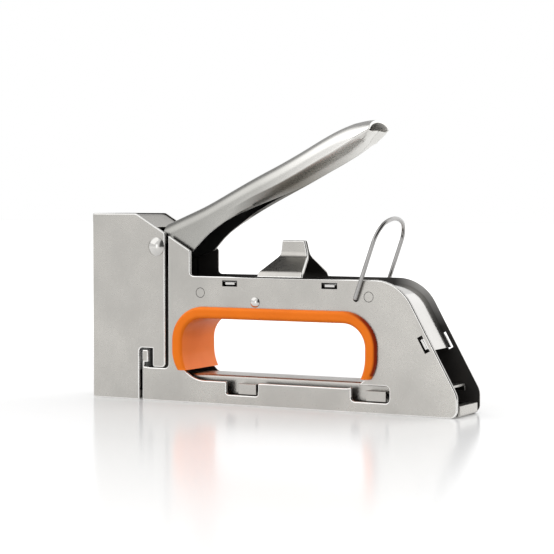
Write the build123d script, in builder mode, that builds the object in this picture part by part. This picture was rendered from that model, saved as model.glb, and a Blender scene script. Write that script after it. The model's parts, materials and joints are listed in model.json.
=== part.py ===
"""Hand-squeezed staple tacker: pressed steel body, coil-driven blade, moulded finger grip.

Millimetres. +Z is up, the nose points along -X and the origin lies on the floor
under the middle of the tool. The -Y side is the left side of someone aiming it.
"""
import math
import os

from build123d import *

os.makedirs("parts", exist_ok=True)

# Body envelope
body_length = 178.0
body_width = 26.0
body_height = 56.0
head_height = 83.3
sheet = 1.2
slip = 0.05
running_gap = 0.3

# Head outline, measured back from the nose and up from the floor
crown_length = 23.7
casing_depth = 38.8
seam_gap = 1.6
riser_setback = 51.8
shoulder_drop = 16.3
riser_radius = 1.8
crown_radius = 3.0
fold_radius = 1.8
foot_depth = 25.2
lobe_width = 6.6
lobe_height = 15.0
lobe_radius = 2.0
lobe_gap = 0.2
catch_height = 23.3
catch_radius = 1.6
ear_width = 3.1
ear_hole_width = 2.1
ear_hole_height = 2.0
lap_foot = 8.0
lap_front_inset = 0.5
lap_seat = 1.0
lap_catch_gap = 0.7
lap_lug_gap = 1.0
lap_crest_gap = 3.0

# Heel outline
heel_height = 9.4
heel_slope = 60.8
heel_top_radius = 19.5
heel_knee_radius = 8.0
heel_toe_radius = 3.4

# Finger opening in the plates, and the moulded insert that lines it
opening_setback = 45.6
opening_heel_setback = 38.2
opening_floor = 10.2
opening_drop = 15.8
opening_radius = 13.0
rim_outset = 2.4
rim_inset = 2.7
rim_height = 2.3
rim_round = 1.6
insert_foot = 14.4
insert_lean = 2.1

# Stop tabs pressed out of the top edges of the plates
stop_setback = 85.2
stop_base_width = 21.6
stop_knee_inset = 5.4
stop_top_inset = 6.4
stop_rear_inset = 2.9
stop_top_rear_inset = 4.8
stop_elbow_rise = 1.7
stop_knee_rise = 9.4
stop_rise = 15.8
stop_bend = 4.0
stop_gap = 0.6

# Spine strip, its tabs and their slots
spine_depth = 2.4
spine_end_height = 27.2
spine_front_gap = 1.4
tab_length = 4.7
slot_length = 7.4
slot_width = 2.6
front_tab_setback = 71.75
rear_tab_heel_setback = 58.05
heel_tab_height = 29.9
tab_recess = 0.25

# Rivets through the plates: body rivets by setback from an end and drop from the top edge
pivot_setback = 34.4
pivot_drop = 14.7
pivot_radius = 2.5
pivot_dome_radius = 4.1
pivot_dome_height = 1.5
bush_wall = 0.65
front_rivet_setback = 57.0
front_rivet_drop = 7.3
middle_rivet_setback = 84.3
middle_rivet_drop = 10.9
rear_rivet_heel_setback = 39.8
rear_rivet_drop = 7.2
rivet_radius = 2.2
rivet_dome_radius = 2.5
rivet_dome_height = 0.5
spacer_wall = 1.0

# Lever: stations from the pivot as distance, back, crease and sole; in the grip also half its slot
lever_clearance = 0.5
lever_root = ((1.4, 10.0, 1.0, -5.6), (9.0, 13.1, 2.0, -4.8), (17.2, 16.4, 5.0, -1.6),
              (20.2, 17.7, 7.0, 2.0), (25.3, 20.1, 10.5, 6.9), (35.5, 25.3, 16.2, 13.4),
              (46.0, 30.5, 21.3, 18.8))
lever_grip = ((58.0, 36.1, 26.3, 24.6, 8.4), (68.0, 40.9, 31.1, 29.4, 5.8), (78.0, 45.8, 36.5, 34.7, 3.4),
              (86.0, 49.6, 40.7, 38.9, 1.6), (93.0, 52.5, 44.5, 42.8, 0.3), (97.5, 53.7, 47.1, 45.8, 0.15),
              (101.4, 54.2, 49.9, 49.4, 0.15))
lever_round = 7.0
lever_lug_radius = 5.6
arm_reach = 24.4
arm_tip_radius = 2.4
arm_step = 0.1

# Striking train in the head
cap_recess = 0.5
cap_setback = 33.2
cap_bend_radius = 5.0
blade_thickness = 1.2
blade_width = 10.6
blade_gap = 0.2
blade_foot = 1.2
blade_drop = 7.8
plunger_length = 16.6
plunger_foot = 31.9
plunger_drop = 8.8
hook_front = 1.2
hook_upright = 3.0
hook_length = 8.0
hook_thickness = 1.8
hook_root = 6.0
hook_bite = 0.5
spring_setback = 11.5
spring_side_room = 1.3
spring_wire = 2.0
spring_turns = 6
spring_play = 0.15
guide_flange_thickness = 1.5
guide_post_play = 0.6
guide_post_length = 10.0
bumper_length = 14.0
nose_block_length = 18.0
nose_block_floor = 12.2
nose_block_top = 27.0
blade_side_play = 0.3

# Magazine
channel_width = 16.8
channel_height = 12.6
channel_wall = 1.0
channel_radius = 4.0
channel_skirt = 4.8
channel_setback = 23.0
channel_rear_gap = 5.0
front_window = (70.0, 15.6, 4.6)
rear_window = (47.8, 17.4, 4.8)
rear_window_top = 11.8
window_radius = 1.8
sill_radius = 1.2
front_foot = (76.0, 8.6)
rear_foot = (41.0, 9.0)
foot_clearance = 0.5
tray_floor = 0.5
tray_wall = 1.0
tray_side_gap = 0.8
tray_side_height = 4.4
tray_front_setback = 5.0
tray_end_gap = 0.05
tray_end_length = 3.0
tray_end_height = 4.8
tray_end_side_gap = 1.8
tray_end_round = 0.7
tray_lug_setback = 9.0
tray_lug_width = 6.0
tray_lug_thickness = 1.5
rail_width = 9.2
rail_height = 7.2
rail_wall = 0.8
rail_setback = 3.4
rod_diameter = 2.0
rod_height = 9.4
pusher_setback = 4.5
pusher_length = 14.0
pusher_wall = 1.7
pusher_skirt = 2.4
pusher_radius = 3.0
pusher_headroom = 0.4
feed_wire = 0.6
feed_outer_diameter = 3.8
feed_turns = 24

# Bail
bail_heel_setback = 45.6
bail_drop = 8.5
bail_wire = 1.8
bail_lean = 19.4
bail_reach = 35.9
bail_side_gap = 0.4
bail_corner_radius = 10.0
bail_corner_turn = 68.0
bail_bend_radius = 1.25

# Places worked out from the sizes above
front = -body_length / 2
rear = body_length / 2
outer = body_width / 2
inner = outer - sheet
lap_inner = inner - sheet
lever_half = lap_inner - lever_clearance
lever_inner = lever_half - sheet
plunger_half = lever_inner - running_gap
hook_inner = plunger_half - hook_bite
spring_outer_radius = hook_inner - spring_side_room
crown_x = front + crown_length
riser_x = front + riser_setback
riser_height = head_height - shoulder_drop
shoulder_fall = shoulder_drop / (riser_x - crown_x)
casing_rear = front + casing_depth
plate_front = casing_rear + seam_gap
foot_rear = front + foot_depth
pivot_x = front + pivot_setback
pivot_height = head_height - pivot_drop
blade_front = front + sheet + blade_gap
blade_rear = blade_front + blade_thickness
nose_front = blade_front + blade_gap / 2
nose_rear = nose_front + nose_block_length
plunger_top = pivot_height - plunger_drop
blade_top = plunger_top - blade_drop
side_left = Plane.XZ
heel_run = (body_height - heel_height) / math.tan(math.radians(heel_slope))
bail_x = rear - bail_heel_setback
bail_height = body_height - bail_drop
front_rivet = (front + front_rivet_setback, body_height - front_rivet_drop)
middle_rivet = (front + middle_rivet_setback, body_height - middle_rivet_drop)
rear_rivet = (rear - rear_rivet_heel_setback, body_height - rear_rivet_drop)


def shoulder_height(x):
    """Height of the head's sloping shoulder at x."""
    return head_height - shoulder_fall * (x - crown_x)


def finish(builder, name):
    """Label one finished piece and write it."""
    builder.part.label = name
    export_step(builder.part, f"parts/{name}.step")


# Head casing: one sheet folded round the nose, with a lobe that laps behind the body plate
lobe_front = casing_rear - lobe_width
with BuildPart() as head_casing:
    with BuildSketch(side_left):
        with BuildLine():
            FilletPolyline(
                (front, 0), (front, head_height), (crown_x, head_height),
                (casing_rear, shoulder_height(casing_rear)), (casing_rear, lobe_height),
                (lobe_front, lobe_height), (lobe_front, catch_height),
                (foot_rear, catch_height), (foot_rear, 0),
                radius=(0, 0, crown_radius, 0, lobe_radius, lobe_radius / 2, 0, catch_radius, 0),
                close=True,
            )
        make_face()
    extrude(amount=outer, both=True)
    with BuildSketch(Plane.XY):
        with Locations((front + sheet, 0)):
            Rectangle(casing_depth, 2 * inner, align=(Align.MIN, Align.CENTER))
    extrude(amount=head_height, mode=Mode.SUBTRACT)
    nose_edges = head_casing.edges().filter_by(Axis.Z).group_by(Axis.X)
    fillet(nose_edges[0], radius=fold_radius)
    with Locations((pivot_x, 0, pivot_height)):
        Cylinder(pivot_radius + slip / 2, body_width * 2, rotation=(90, 0, 0), mode=Mode.SUBTRACT)
finish(head_casing, "head_casing")

# Head cap: lid over the spring chamber, bent to follow the shoulder down to the lever
cap_top = head_height - cap_recess
cap_under = cap_top - sheet
cap_rear = front + cap_setback
with BuildPart() as head_cap:
    with BuildSketch(side_left):
        with BuildLine():
            FilletPolyline(
                (front + sheet, cap_top), (crown_x, cap_top),
                (cap_rear, shoulder_height(cap_rear) - cap_recess),
                radius=cap_bend_radius,
            )
            offset(amount=sheet, side=Side.RIGHT)
        make_face()
    extrude(amount=inner, both=True)
finish(head_cap, "head_cap")

# Side plates: the left one is pressed here, the right one is its mirror image
ear_front = foot_rear + seam_gap
ear_rear = ear_front + ear_width
edge_gap = seam_gap / 2
lap_line = lobe_height - lobe_gap
lap_front = lobe_front + lap_front_inset
lap_rear = plate_front + lap_seat
lap_top = pivot_height - lever_lug_radius - lap_lug_gap
lap_crest = shoulder_height(lap_rear) - lap_crest_gap
lap_collar = pivot_x + pivot_radius + running_gap
lap_shelf = catch_height + lap_catch_gap
lap_reach = nose_rear + running_gap
heel_top_x = rear - heel_run
opening_x = front + opening_setback
opening_length = rear - opening_heel_setback - opening_x
opening_height = body_height - opening_drop - opening_floor
opening_mid = opening_x + opening_length / 2
opening_mid_height = opening_floor + opening_height / 2
opening_corner = min(opening_radius, opening_height / 2 - running_gap)
stop_x = front + stop_setback
spine_middle = body_height - spine_depth - sheet / 2
heel_inset = (spine_depth + sheet / 2) / math.sin(math.radians(heel_slope))
heel_tab_x = rear - heel_inset - (heel_tab_height - heel_height) / math.tan(math.radians(heel_slope))
top_tab_places = [(x, spine_middle) for x in (front + front_tab_setback, rear - rear_tab_heel_setback)]
with BuildSketch(side_left) as plate_outline:
    with BuildLine():
        FilletPolyline(
            (ear_front, 0), (ear_front, catch_height - edge_gap), (ear_rear, catch_height - edge_gap),
            (ear_rear, lap_line), (plate_front, lap_line),
            (plate_front, shoulder_height(plate_front)), (riser_x, riser_height),
            (riser_x, body_height), (heel_top_x, body_height), (rear, heel_height), (rear, 0),
            radius=(0, 0, 0, 0, lobe_radius, 0, 0, riser_radius, heel_top_radius,
                    heel_knee_radius, heel_toe_radius),
            close=True,
        )
    make_face()
with BuildSketch(side_left) as finger_opening:
    with Locations((opening_mid, opening_mid_height)):
        RectangleRounded(opening_length, opening_height, opening_corner)

with BuildPart() as left_side_plate:
    with BuildSketch(side_left.offset(inner)):
        add(plate_outline.sketch_local)
        add(finger_opening.sketch_local, mode=Mode.SUBTRACT)
        with Locations((ear_rear, lobe_height)):
            Rectangle(ear_hole_width, ear_hole_height, align=(Align.MAX, Align.MIN), mode=Mode.SUBTRACT)
        with Locations((front + front_window[0] + front_window[1] / 2, front_window[2] + opening_floor / 2)):
            RectangleRounded(front_window[1], opening_floor, sill_radius, mode=Mode.SUBTRACT)
        window_height = rear_window_top - rear_window[2]
        window_middle = rear - rear_window[0] + rear_window[1] / 2
        with Locations((window_middle, rear_window[2] + window_height / 2)):
            RectangleRounded(rear_window[1], window_height, window_radius, mode=Mode.SUBTRACT)
        with Locations(*top_tab_places):
            Rectangle(slot_length, slot_width, mode=Mode.SUBTRACT)
        with Locations((heel_tab_x, heel_tab_height)):
            Rectangle(slot_length, slot_width, rotation=-heel_slope, mode=Mode.SUBTRACT)
        with Locations(front_rivet, middle_rivet, rear_rivet):
            Circle(rivet_radius + slip / 2, mode=Mode.SUBTRACT)
        with Locations((bail_x, bail_height)):
            Circle(bail_wire / 2 + slip, mode=Mode.SUBTRACT)
    extrude(amount=sheet)
    # Front lap, stepped in by one sheet so that it lies behind the casing and its lobe
    with BuildSketch(side_left.offset(lap_inner)):
        with BuildLine():
            Polyline(
                (lap_front, lap_foot), (lap_rear, lap_foot), (lap_rear, lap_crest),
                (lap_collar, lap_crest), (lap_collar, lap_top), (lap_reach, lap_top),
                (lap_reach, lap_shelf), (lap_front, lap_shelf),
                close=True,
            )
        make_face()
    extrude(amount=sheet)
# Stop tab: an S-bent band of sheet, trimmed to its tapered outline
with BuildPart() as stop_tab:
    with BuildSketch(Plane.YZ.offset(stop_x)):
        with BuildLine():
            FilletPolyline(
                (-outer, body_height - sheet), (-outer, body_height + stop_elbow_rise),
                (-stop_gap / 2 - sheet, body_height + stop_knee_rise),
                (-stop_gap / 2 - sheet, body_height + stop_rise),
                radius=stop_bend,
            )
            offset(amount=sheet, side=Side.RIGHT)
        make_face()
    extrude(amount=stop_base_width)
    with BuildSketch(side_left):
        with BuildLine():
            stop_end = stop_x + stop_base_width
            Polyline(
                (stop_x, body_height - 2 * sheet), (stop_x, body_height + stop_elbow_rise),
                (stop_x + stop_knee_inset, body_height + stop_knee_rise),
                (stop_x + stop_top_inset, body_height + stop_rise + sheet),
                (stop_end - stop_top_rear_inset, body_height + stop_rise + sheet),
                (stop_end - stop_rear_inset, body_height + stop_knee_rise),
                (stop_end, body_height + stop_elbow_rise), (stop_end, body_height - 2 * sheet),
                close=True,
            )
        make_face()
    extrude(amount=body_width, mode=Mode.INTERSECT)
with left_side_plate:
    add(stop_tab.part)
finish(left_side_plate, "left_side_plate")

with BuildPart() as right_side_plate:
    add(mirror(left_side_plate.part, about=Plane.XZ))
finish(right_side_plate, "right_side_plate")

# Spine strip: follows the plates' top and heel edges, with tabs into their slots
spine_front = riser_x + spine_front_gap
with BuildPart() as spine_strip:
    with BuildSketch(side_left):
        offset(plate_outline.sketch_local, amount=-spine_depth)
        offset(plate_outline.sketch_local, amount=-spine_depth - sheet, mode=Mode.SUBTRACT)
        with BuildLine():
            Polyline(
                (spine_front, body_height), (rear, body_height), (rear, spine_end_height),
                (opening_mid, spine_end_height), (opening_mid, spine_middle - sheet),
                (spine_front, spine_middle - sheet), close=True,
            )
        make_face(mode=Mode.INTERSECT)
    extrude(amount=inner - slip, both=True)
    with BuildSketch(side_left):
        with Locations(*top_tab_places):
            Rectangle(tab_length, sheet)
        with Locations((heel_tab_x, heel_tab_height)):
            Rectangle(tab_length, sheet, rotation=-heel_slope)
    extrude(amount=outer - tab_recess, both=True)
finish(spine_strip, "spine_strip")

# Grip insert: inverted-U liner through both plates with a rounded rim on each side
insert_inner_left = opening_x + rim_inset
insert_inner_right = opening_x + opening_length - rim_inset
insert_inner_top = opening_floor + opening_height - rim_inset
insert_hip = opening_floor + opening_corner
with BuildSketch(side_left) as insert_hollow:
    with BuildLine():
        left_leg = TangentArc(
            (insert_inner_left, insert_hip), (insert_inner_left + insert_lean, insert_foot),
            tangent=(0, -1),
        )
        right_leg = TangentArc(
            (insert_inner_right, insert_hip), (insert_inner_right - insert_lean, insert_foot),
            tangent=(0, -1),
        )
        FilletPolyline(
            left_leg @ 0, (insert_inner_left, insert_inner_top),
            (insert_inner_right, insert_inner_top), right_leg @ 0,
            radius=opening_corner - rim_inset,
        )
        Line(left_leg @ 1, right_leg @ 1)
    make_face()
with BuildPart() as grip_insert:
    with BuildSketch(side_left):
        offset(finger_opening.sketch_local, amount=-slip)
    extrude(amount=outer + rim_height, both=True)
    for plane, amount in ((side_left.offset(outer), rim_height), (side_left.offset(-outer), -rim_height)):
        with BuildSketch(plane):
            offset(finger_opening.sketch_local, amount=rim_outset)
        extrude(amount=amount)
    with BuildSketch(side_left):
        add(insert_hollow.sketch_local)
    extrude(amount=body_width, both=True, mode=Mode.SUBTRACT)
    with BuildSketch(Plane.XY):
        with Locations((opening_mid, 0)):
            Rectangle(opening_length * 2, body_width * 2)
    extrude(amount=insert_foot, mode=Mode.SUBTRACT)
    for end in (0, -1):
        rim_face = grip_insert.faces().filter_by(Axis.Y).sort_by(Axis.Y)[end]
        rim_edges = rim_face.edges().filter_by(lambda edge: edge.bounding_box().max.Z > insert_foot + slip)
        fillet(rim_edges, radius=rim_round)
finish(grip_insert, "grip_insert")

# Magazine channel: inverted U with a rounded back and four feet turned out into the windows
channel_front = front + channel_setback
channel_rear = rear - channel_rear_gap
channel_half = channel_width / 2
with BuildPart() as magazine_channel:
    with BuildSketch(Plane.YZ.offset(channel_front)):
        with BuildLine():
            FilletPolyline(
                (-channel_half, channel_skirt), (-channel_half, channel_height),
                (channel_half, channel_height), (channel_half, channel_skirt),
                radius=channel_radius,
            )
            offset(amount=channel_wall, side=Side.RIGHT)
        make_face()
    extrude(amount=channel_rear - channel_front)
    shelf_top = channel_height - channel_radius
    front_feet = (front + front_foot[0], front_foot[1], front_window[2])
    rear_feet = (rear - rear_foot[0], rear_foot[1], rear_window[2])
    for foot_x, foot_length, window_sill in (front_feet, rear_feet):
        with BuildSketch(Plane.XY.offset(shelf_top)):
            with Locations((foot_x, 0)):
                Rectangle(foot_length, 2 * (outer - tab_recess), align=(Align.MIN, Align.CENTER))
                Rectangle(foot_length, 2 * (channel_half - channel_wall), align=(Align.MIN, Align.CENTER),
                          mode=Mode.SUBTRACT)
        extrude(amount=channel_wall)
        foot_sole = window_sill + foot_clearance
        with BuildSketch(Plane.XY.offset(foot_sole)):
            with Locations((foot_x, outer - tab_recess), (foot_x, -inner)):
                Rectangle(foot_length, sheet - tab_recess, align=(Align.MIN, Align.MAX))
        extrude(amount=shelf_top - foot_sole + channel_wall)
finish(magazine_channel, "magazine_channel")

# Magazine tray: shallow drawer with a folded end at the heel and a lug for the rod
tray_front = front + tray_front_setback
tray_rear = rear - tray_end_gap
tray_half = inner - tray_side_gap
lug_x = rear - tray_lug_setback
with BuildPart() as magazine_tray:
    with BuildSketch(Plane.YZ.offset(tray_front)):
        with BuildLine():
            Polyline(
                (-tray_half, tray_side_height), (-tray_half, tray_floor),
                (tray_half, tray_floor), (tray_half, tray_side_height),
            )
            offset(amount=tray_wall, side=Side.LEFT)
        make_face()
    extrude(amount=tray_rear - tray_end_length - tray_front)
    with BuildSketch(Plane.XY.offset(tray_floor)):
        with Locations((tray_rear, 0)):
            Rectangle(tray_end_length + tray_wall, 2 * (inner - tray_end_side_gap),
                      align=(Align.MAX, Align.CENTER))
    extrude(amount=tray_end_height - tray_floor)
    end_face = magazine_tray.faces().filter_by(Axis.X).sort_by(Axis.X)[-1]
    fillet(end_face.edges(), radius=tray_end_round)
    with BuildSketch(Plane.YZ.offset(lug_x)):
        with Locations((0, tray_floor)):
            Rectangle(tray_lug_width, rod_height + rod_diameter - tray_floor,
                      align=(Align.CENTER, Align.MIN))
        with Locations((0, rod_height)):
            Circle(rod_diameter / 2 + slip / 2, mode=Mode.SUBTRACT)
    extrude(amount=tray_lug_thickness)
finish(magazine_tray, "magazine_tray")

# Staple rail: inverted U on the tray floor that the staples straddle
rail_half = rail_width / 2
with BuildPart() as staple_rail:
    with BuildSketch(Plane.YZ.offset(front + rail_setback)):
        with BuildLine():
            Polyline(
                (-rail_half, tray_floor + tray_wall), (-rail_half, rail_height),
                (rail_half, rail_height), (rail_half, tray_floor + tray_wall),
            )
            offset(amount=rail_wall, side=Side.RIGHT)
        make_face()
    extrude(amount=lug_x - front - rail_setback)
finish(staple_rail, "staple_rail")

# Staple pusher: saddle over the rail, bored for the rod
pusher_x = front + pusher_setback
pusher_half = rail_half + running_gap + pusher_wall
pusher_top = channel_height - channel_wall - pusher_headroom
with BuildPart() as staple_pusher:
    with BuildSketch(Plane.YZ.offset(pusher_x)):
        with BuildLine():
            FilletPolyline(
                (-pusher_half, pusher_skirt), (-pusher_half, pusher_top),
                (pusher_half, pusher_top), (pusher_half, pusher_skirt),
                radius=(0, pusher_radius, pusher_radius, 0), close=True,
            )
        make_face()
        with Locations((0, pusher_skirt)):
            Rectangle(2 * (rail_half + running_gap), rail_height + running_gap - pusher_skirt,
                      align=(Align.CENTER, Align.MIN), mode=Mode.SUBTRACT)
        with Locations((0, rod_height)):
            Circle(rod_diameter / 2 + slip, mode=Mode.SUBTRACT)
    extrude(amount=pusher_length)
finish(staple_pusher, "staple_pusher")

# Pusher rod, from inside the pusher to the tray's lug
with BuildPart() as pusher_rod:
    with BuildSketch(Plane.YZ.offset(pusher_x)):
        with Locations((0, rod_height)):
            Circle(rod_diameter / 2)
    extrude(amount=lug_x + tray_lug_thickness - pusher_x)
finish(pusher_rod, "pusher_rod")


def coil_path(radius, length, turns, steps):
    """Helix about +Z from z=0, as pairs of tangent arcs, steps pairs to a turn."""
    climb = length / turns / (2 * math.pi)

    def point(angle):
        return Vector(radius * math.cos(angle), radius * math.sin(angle), climb * angle)

    def tangent(angle):
        return Vector(-radius * math.sin(angle), radius * math.cos(angle), climb).normalized()

    arcs = []
    for step in range(turns * steps):
        first = 2 * math.pi * step / steps
        last = 2 * math.pi * (step + 1) / steps
        chord = point(last) - point(first)
        along = chord.dot(tangent(first) + tangent(last))
        spread = 2 * (1 - tangent(first).dot(tangent(last)))
        reach = (math.sqrt(along ** 2 + spread * chord.dot(chord)) - along) / spread
        handle = point(first) + tangent(first) * reach
        far_handle = point(last) - tangent(last) * reach
        meeting = (handle + far_handle) * 0.5
        arcs.append(Edge.make_tangent_arc(point(first), tangent(first), meeting))
        arcs.append(Edge.make_tangent_arc(meeting, far_handle - handle, point(last)))
    return Wire(arcs)


def least_turn_gap(path, wire_diameter, turns):
    """Smallest clear distance between neighbouring turns, measured on points of the path."""
    samples = turns * 24
    points = [path.position_at(i / samples) for i in range(samples + 1)]
    gaps = [
        (points[i] - points[j]).length
        for i in range(len(points)) for j in range(i + 12, min(i + 37, len(points)))
    ]
    return min(gaps) - wire_diameter


# Pusher spring: long light coil on the rod, from the pusher to the lug
feed_length = lug_x - pusher_x - pusher_length
feed_path = coil_path((feed_outer_diameter - feed_wire) / 2, feed_length - feed_wire - 2 * spring_play,
                      feed_turns, 2)
print("pusher_spring least gap", round(least_turn_gap(feed_path, feed_wire, feed_turns), 2))
feed_frame = Plane(origin=(pusher_x + pusher_length + feed_wire / 2 + spring_play, 0, rod_height),
                   x_dir=(0, 1, 0), z_dir=(1, 0, 0))
with BuildPart() as pusher_spring:
    feed_wire_path = feed_frame.from_local_coords(feed_path)
    with BuildSketch(Plane(origin=feed_wire_path @ 0, z_dir=feed_wire_path % 0)):
        Circle(feed_wire / 2)
    sweep(path=feed_wire_path)
finish(pusher_spring, "pusher_spring")

# Driver blade: flat tongue that slides down behind the nose
with BuildPart() as driver_blade:
    with BuildSketch(Plane.YZ.offset(blade_front)):
        with Locations((0, blade_foot)):
            Rectangle(blade_width, blade_top - blade_foot, align=(Align.CENTER, Align.MIN))
    extrude(amount=blade_thickness)
    top_corners = driver_blade.edges().filter_by(Axis.X).group_by(Axis.Z)[-1]
    chamfer(top_corners, length=blade_thickness)
finish(driver_blade, "driver_blade")

# Plunger: hammer block behind the blade, with two hooks that the lever's arms lift
hook_sole = pivot_height + arm_tip_radius + running_gap
hook_x = blade_rear + hook_front
with BuildPart() as plunger:
    with BuildSketch(side_left):
        with Locations((blade_rear, plunger_foot)):
            Rectangle(plunger_length, plunger_top - plunger_foot, align=Align.MIN)
    extrude(amount=plunger_half, both=True)
    rear_edges = plunger.faces().sort_by(Axis.X)[-1].edges().filter_by(Axis.Z)
    chamfer(rear_edges, length=sheet)
    for hook_plane in (side_left.offset(hook_inner), side_left.offset(-lever_half)):
        with BuildSketch(hook_plane):
            with BuildLine():
                Polyline(
                    (hook_x, plunger_top - hook_root), (hook_x, hook_sole + hook_thickness),
                    (hook_x + hook_length, hook_sole + hook_thickness), (hook_x + hook_length, hook_sole),
                    (hook_x + hook_upright, hook_sole), (hook_x + hook_upright, plunger_top - hook_root),
                    close=True,
                )
            make_face()
        extrude(amount=lever_half - hook_inner)
finish(plunger, "plunger")

# Spring guide: flanged post hanging from the cap inside the main spring
spring_x = front + spring_setback
guide_face = cap_under - guide_flange_thickness
with BuildPart() as spring_guide:
    with BuildSketch(Plane.XY.offset(guide_face)):
        with Locations((spring_x, 0)):
            Circle(spring_outer_radius)
    extrude(amount=guide_flange_thickness)
    with BuildSketch(Plane.XY.offset(guide_face)):
        with Locations((spring_x, 0)):
            Circle(spring_outer_radius - spring_wire - guide_post_play)
    extrude(amount=-guide_post_length)
    post_end = spring_guide.faces().sort_by(Axis.Z)[0]
    chamfer(post_end.edges(), length=sheet)
finish(spring_guide, "spring_guide")

# Main spring: stiff coil between the plunger and the guide's flange
spring_length = guide_face - plunger_top
spring_path = coil_path(spring_outer_radius - spring_wire / 2,
                        spring_length - spring_wire - 2 * spring_play, spring_turns, 4)
print("main_spring least gap", round(least_turn_gap(spring_path, spring_wire, spring_turns), 2))
spring_frame = Plane.XY.move(Location((spring_x, 0, plunger_top + spring_wire / 2 + spring_play)))
with BuildPart() as main_spring:
    spring_wire_path = spring_frame.from_local_coords(spring_path)
    with BuildSketch(Plane(origin=spring_wire_path @ 0, z_dir=spring_wire_path % 0)):
        Circle(spring_wire / 2)
    sweep(path=spring_wire_path)
finish(main_spring, "main_spring")

# Blade guide: block in the nose with a groove for the blade, under the bumper
with BuildPart() as blade_guide:
    with BuildSketch(Plane.XY.offset(nose_block_floor)):
        with Locations((nose_front, 0)):
            Rectangle(nose_block_length, 2 * inner, align=(Align.MIN, Align.CENTER))
            Rectangle(blade_thickness + blade_gap, blade_width + 2 * blade_side_play,
                      align=(Align.MIN, Align.CENTER), mode=Mode.SUBTRACT)
    extrude(amount=nose_block_top - nose_block_floor)
finish(blade_guide, "blade_guide")

# Plunger bumper: resilient pad that stops the plunger
bumper_top = plunger_foot - running_gap
with BuildPart() as plunger_bumper:
    with BuildSketch(Plane.XY.offset(nose_block_top)):
        with Locations((blade_rear + running_gap + bumper_length / 2, 0)):
            Rectangle(bumper_length, 2 * plunger_half)
    extrude(amount=bumper_top - nose_block_top)
    fillet(plunger_bumper.edges().filter_by(Axis.Z), radius=sheet)
finish(plunger_bumper, "plunger_bumper")


def lever_section(x, back, crease, sole, slot):
    """Section of the lever's sheet across the body, with each edge turned in as far as the slot."""
    corner = min(lever_round, back - crease - slip)
    lip = Vector(lever_half - slot, crease - sole).normalized()
    lip_normal = Vector(lip.Y, lip.X)
    side_normal = Vector(1, 0)
    bend = Vector(-lever_half, crease)
    bend_inside = bend + (side_normal + lip_normal) * (sheet / (1 + side_normal.dot(lip_normal)))
    tip = Vector(-slot, sole)
    tip_inside = tip + (Vector(0, sheet / lip.X) if slot < lever_inner else lip_normal * sheet)
    ceiling = back - sheet
    inside_corner = min(corner - sheet, ceiling - bend_inside.Y - slip)
    across = Plane(origin=(pivot_x + x, 0, pivot_height), x_dir=(0, 1, 0), z_dir=(1, 0, 0))
    with BuildSketch(across) as section:
        with BuildLine():
            FilletPolyline((bend.X, bend.Y), (-lever_half, back), (lever_half, back), (-bend.X, bend.Y),
                           radius=corner)
            Polyline((-bend.X, bend.Y), (-tip.X, tip.Y), (-tip_inside.X, tip_inside.Y),
                     (-bend_inside.X, bend_inside.Y))
            FilletPolyline((-bend_inside.X, bend_inside.Y), (lever_inner, ceiling), (-lever_inner, ceiling),
                           (bend_inside.X, bend_inside.Y), radius=inside_corner)
            Polyline((bend_inside.X, bend_inside.Y), (tip_inside.X, tip_inside.Y), (tip.X, tip.Y),
                     (bend.X, bend.Y))
        make_face()
    return section.sketch


# Lever: channel with a rounded back, its edges turned in towards the grip until they meet;
# two arms run forward beside the plunger
lever_plane = Plane(origin=(pivot_x, 0, pivot_height), x_dir=(1, 0, 0), z_dir=(0, -1, 0))
open_slot = lever_half - slip
with BuildPart() as lever:
    loft([lever_section(*station, open_slot) for station in lever_root]
         + [lever_section(*station) for station in lever_grip])
    for cheek_plane in (lever_plane.offset(lever_inner + arm_step), lever_plane.offset(arm_step - lever_half)):
        with BuildSketch(cheek_plane):
            Circle(lever_lug_radius)
            with Locations((-arm_reach, 0)):
                Circle(arm_tip_radius)
            make_hull()
        extrude(amount=sheet - 2 * arm_step)
    with Locations((pivot_x, 0, pivot_height)):
        Cylinder(pivot_radius + slip, body_width, rotation=(90, 0, 0), mode=Mode.SUBTRACT)
finish(lever, "lever")

# Pivot bush: tube that keeps the lever's cheeks apart on the rivet
with BuildPart() as pivot_bush:
    with BuildSketch(lever_plane):
        Circle(pivot_radius + slip + bush_wall)
        Circle(pivot_radius + slip, mode=Mode.SUBTRACT)
    extrude(amount=lever_inner - running_gap, both=True)
finish(pivot_bush, "pivot_bush")


def domed_pin(x, height, shaft_radius, dome_radius, dome_height):
    """Revolve a rivet across the body with a low dome on each side."""
    with BuildPart() as pin:
        with BuildSketch(Plane.XY.move(Location((x, 0, height)))):
            with BuildLine():
                crown = TangentArc((0, outer + dome_height), (dome_radius, outer), tangent=(1, 0))
                base = TangentArc((0, -outer - dome_height), (dome_radius, -outer), tangent=(1, 0))
                Polyline(crown @ 1, (shaft_radius, outer), (shaft_radius, -outer), base @ 1)
                Line(base @ 0, crown @ 0)
            make_face()
        revolve(axis=Axis((x, 0, height), (0, 1, 0)))
    return pin.part


# Lever pivot rivet, through the casing, the laps and the lever
with BuildPart() as lever_pivot_rivet:
    add(domed_pin(pivot_x, pivot_height, pivot_radius, pivot_dome_radius, pivot_dome_height))
finish(lever_pivot_rivet, "lever_pivot_rivet")

# Body rivets: two ground flush and one domed, with a spacer tube on each
with BuildPart() as body_rivets:
    add(domed_pin(middle_rivet[0], middle_rivet[1], rivet_radius, rivet_dome_radius, rivet_dome_height))
    with BuildSketch(side_left):
        with Locations(front_rivet, rear_rivet):
            Circle(rivet_radius)
    extrude(amount=outer, both=True)
finish(body_rivets, "body_rivets")

with BuildPart() as rivet_spacers:
    with BuildSketch(side_left):
        with Locations(front_rivet, middle_rivet, rear_rivet):
            Circle(rivet_radius + slip + spacer_wall)
            Circle(rivet_radius + slip, mode=Mode.SUBTRACT)
    extrude(amount=inner, both=True)
finish(rivet_spacers, "rivet_spacers")

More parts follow.
